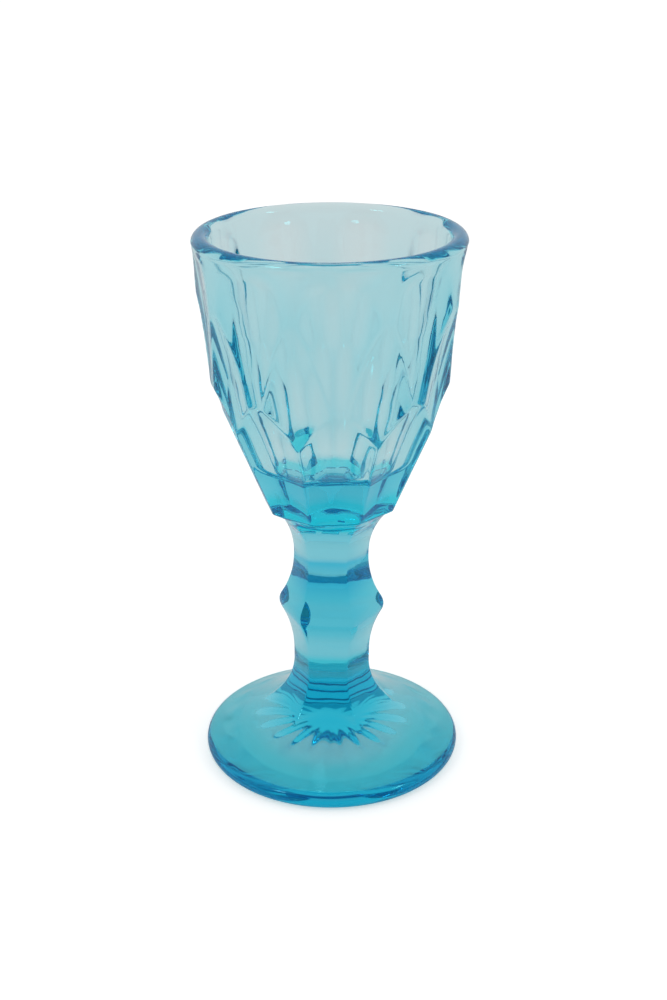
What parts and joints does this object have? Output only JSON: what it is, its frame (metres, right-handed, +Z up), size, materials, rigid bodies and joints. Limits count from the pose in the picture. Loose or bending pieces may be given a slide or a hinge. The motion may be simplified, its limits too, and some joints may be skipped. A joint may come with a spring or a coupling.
{
  "type": "cordial glass",
  "caption": "Small aqua cordial glass: faceted bowl with a thick base, six-sided stem with a knop, round domed foot.",
  "frame": {"origin": "centre of the foot, on the surface that it stands on", "axes": "+Z up along the glass's axis, -Y towards the viewer of the picture"},
  "size_m": [0.0506, 0.0506, 0.105],
  "materials": {
    "aqua_glass": "clear, tinted aqua all through, fire-polished"
  },
  "bodies": {
    "root": {"bowl": "aqua_glass", "stem": "aqua_glass", "foot": "aqua_glass"}
  },
  "joints": []
}
